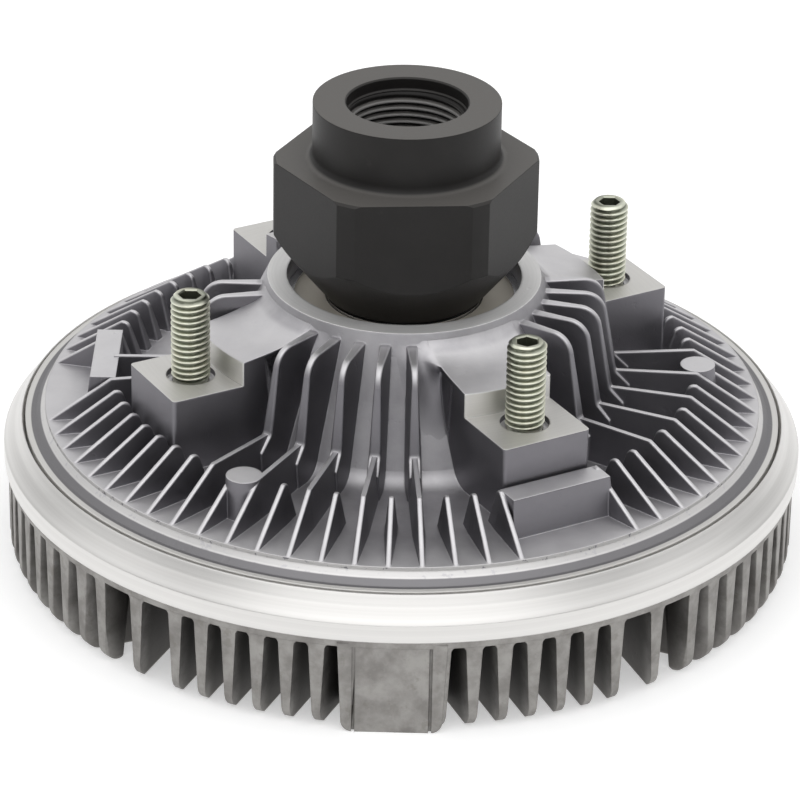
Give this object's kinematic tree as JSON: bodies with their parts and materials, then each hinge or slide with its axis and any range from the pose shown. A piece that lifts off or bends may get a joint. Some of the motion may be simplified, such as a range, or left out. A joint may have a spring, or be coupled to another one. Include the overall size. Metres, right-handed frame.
{
  "type": "viscous fan clutch",
  "caption": "Viscous fan clutch with radial cooling ribs and rear fins, square stud bosses, a hexagon input shaft with a threaded collar, and a bimetal coil valve.",
  "frame": {"origin": "on the axis of rotation, in the plane of the fin tips that the clutch stands on", "axes": "+Z along the axis of rotation, from the finned cover towards the threaded collar; -Y is the front, where the solid block between the rear fins is; +X is to the right of it"},
  "size_m": [0.165, 0.165, 0.0983],
  "materials": {
    "cast_housing": "satin as-cast, with machined pads",
    "cast_cover": "as-cast fins with a bright turned rim",
    "stud_zinc": "zinc plated with a yellow-green cast",
    "shaft_black": "matte black phosphate",
    "bearing_steel": "ground",
    "shield_beige": "satin",
    "cage_polymer": "matte",
    "spring_steel": "dark oiled",
    "rotor_aluminium": "turned",
    "plate_steel": "satin",
    "rivet_steel": "plain",
    "wiper_polymer": "matte",
    "seal_rubber": "matte",
    "bimetal_strip": "rolled strip"
  },
  "bodies": {
    "clutch_body": {"finned_housing": "cast_housing", "finned_cover": "cast_cover", "fan_studs": "stud_zinc", "bearing_outer_ring": "bearing_steel", "bearing_front_shield": "shield_beige", "bearing_rear_shield": "shield_beige", "bearing_snap_ring": "spring_steel", "separator_plate": "plate_steel", "separator_rivets": "rivet_steel", "wiper_block": "wiper_polymer", "valve_shaft_seal": "seal_rubber", "cover_seal": "seal_rubber", "coil_bracket": "plate_steel", "bracket_rivets": "rivet_steel"},
    "drive_shaft": {"input_shaft": "shaft_black", "bearing_inner_ring": "bearing_steel", "clutch_rotor": "rotor_aluminium"},
    "ball_set": {"bearing_balls": "bearing_steel", "bearing_cage": "cage_polymer"},
    "valve": {"valve_shaft": "plate_steel", "valve_arm": "plate_steel", "valve_clip": "spring_steel", "bimetal_coil": "bimetal_strip"}
  },
  "joints": [
    {"name": "shaft_spin", "type": "hinge", "parent": "clutch_body", "child": "drive_shaft", "pos_m": [0, 0, 0.0485], "axis": [0, 0, 1], "continuous": true},
    {"name": "ball_set_spin", "type": "hinge", "parent": "clutch_body", "child": "ball_set", "pos_m": [0, 0, 0.0485], "axis": [0, 0, 1], "continuous": true},
    {"name": "valve_turn", "type": "hinge", "parent": "clutch_body", "child": "valve", "pos_m": [0, 0, 0.0142], "axis": [0, 0, 1], "range_deg": [0, 30]}
  ],
  "couplings": [
    {"joint": "ball_set_spin", "follows": "shaft_spin", "ratio": 0.3974}
  ]
}
